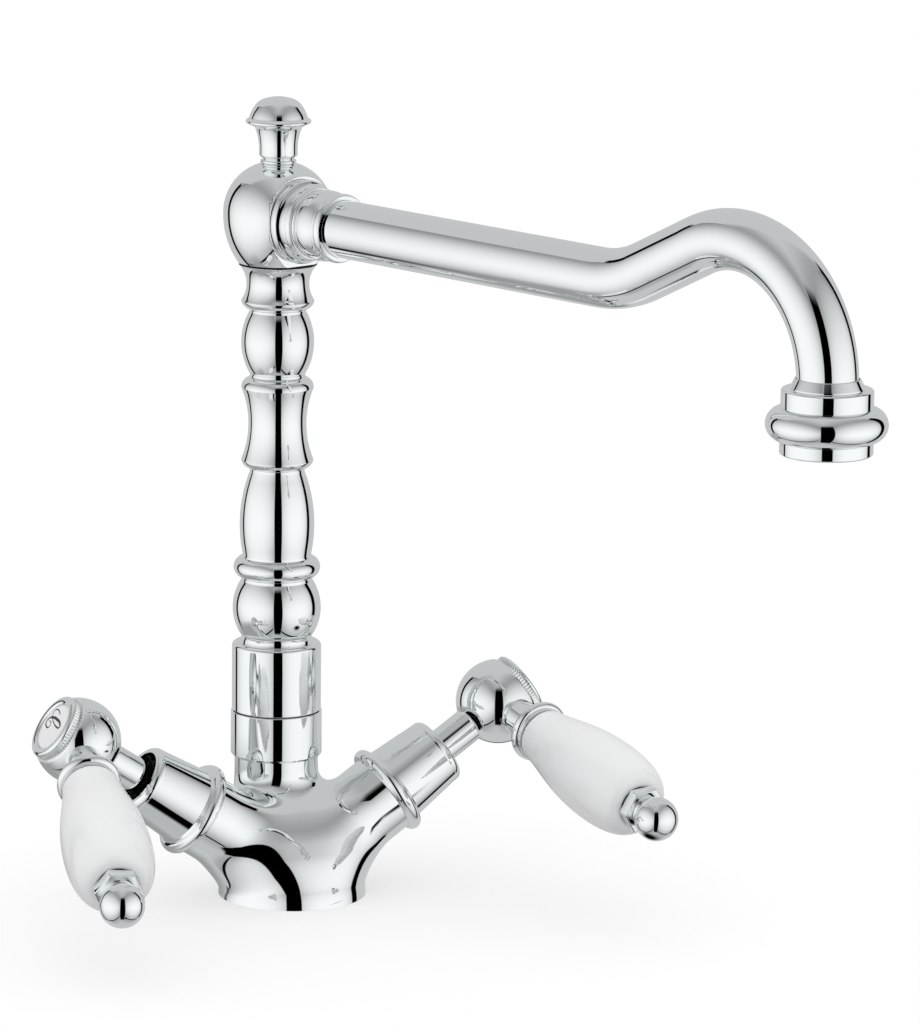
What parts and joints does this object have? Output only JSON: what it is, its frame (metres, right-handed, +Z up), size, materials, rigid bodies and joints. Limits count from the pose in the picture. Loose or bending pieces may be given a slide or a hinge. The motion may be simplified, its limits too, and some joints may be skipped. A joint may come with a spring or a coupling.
{
  "type": "kitchen faucet",
  "caption": "Deck mounted kitchen faucet with a turned column, a swivelling curved spout and lever handles with porcelain grips on either side.",
  "frame": {"origin": "centre of the foot on the deck, at the mouth of the central stud hole", "axes": "+Z up along the stud, -Y towards the user, +X to the user's right (cold side)"},
  "size_m": [0.1952, 0.2659, 0.2534],
  "materials": {
    "chrome": "polished chrome plate on brass",
    "brass": "plain machined brass, inside the faucet",
    "steel": "plain stainless steel",
    "rubber": "black nitrile rubber",
    "plastic": "natural acetal",
    "ceramic": "lapped alumina",
    "porcelain": "glossy white porcelain",
    "index_white": "glossy white, with a dark letter"
  },
  "bodies": {
    "body": {"body_casting": "chrome", "foot_gasket": "rubber", "swivel_ring": "chrome", "swivel_washer": "plastic", "swivel_screw": "steel", "hot_seat_seal": "rubber", "hot_fixed_disc": "ceramic", "hot_bonnet": "brass", "hot_bonnet_oring": "rubber", "hot_valve_cover": "chrome", "cold_seat_seal": "rubber", "cold_fixed_disc": "ceramic", "cold_bonnet": "brass", "cold_bonnet_oring": "rubber", "cold_valve_cover": "chrome"},
    "spout": {"column_sleeve": "chrome", "spigot_orings": "rubber", "column": "chrome", "column_seals": "rubber", "ball_elbow": "chrome", "finial": "chrome", "spout_nut": "chrome", "spout_seal": "rubber", "spout_tube": "chrome", "outlet_collar": "chrome", "aerator_housing": "chrome", "aerator_insert": "plastic", "aerator_seal": "rubber"},
    "hot_handle": {"hot_moving_disc": "ceramic", "hot_spindle": "brass", "hot_spindle_orings": "rubber", "hot_spindle_clip": "steel", "hot_stem_sleeve": "chrome", "hot_handle_hub": "chrome", "hot_hub_screw": "steel", "hot_index_ring": "chrome", "hot_index_disc": "index_white", "hot_lever_collar": "chrome", "hot_lever_rod": "steel", "hot_lever_grip": "porcelain", "hot_grip_washers": "chrome", "hot_lever_nut": "chrome", "hot_lever_ball": "chrome"},
    "cold_handle": {"cold_moving_disc": "ceramic", "cold_spindle": "brass", "cold_spindle_orings": "rubber", "cold_spindle_clip": "steel", "cold_stem_sleeve": "chrome", "cold_handle_hub": "chrome", "cold_hub_screw": "steel", "cold_index_ring": "chrome", "cold_index_disc": "index_white", "cold_lever_collar": "chrome", "cold_lever_rod": "steel", "cold_lever_grip": "porcelain", "cold_grip_washers": "chrome", "cold_lever_nut": "chrome", "cold_lever_ball": "chrome"}
  },
  "joints": [
    {"name": "spout_swivel", "type": "hinge", "parent": "body", "child": "spout", "pos_m": [0, 0.0142, 0.0569], "axis": [0, 0, 1], "continuous": true},
    {"name": "hot_turn", "type": "hinge", "parent": "body", "child": "hot_handle", "pos_m": [-0.07213, 0.002, 0.05572], "axis": [-0.8329, 0, 0.5534], "range_deg": [0, 90]},
    {"name": "cold_turn", "type": "hinge", "parent": "body", "child": "cold_handle", "pos_m": [0.07213, 0.002, 0.05572], "axis": [-0.8329, 0, -0.5534], "range_deg": [0, 90]}
  ]
}
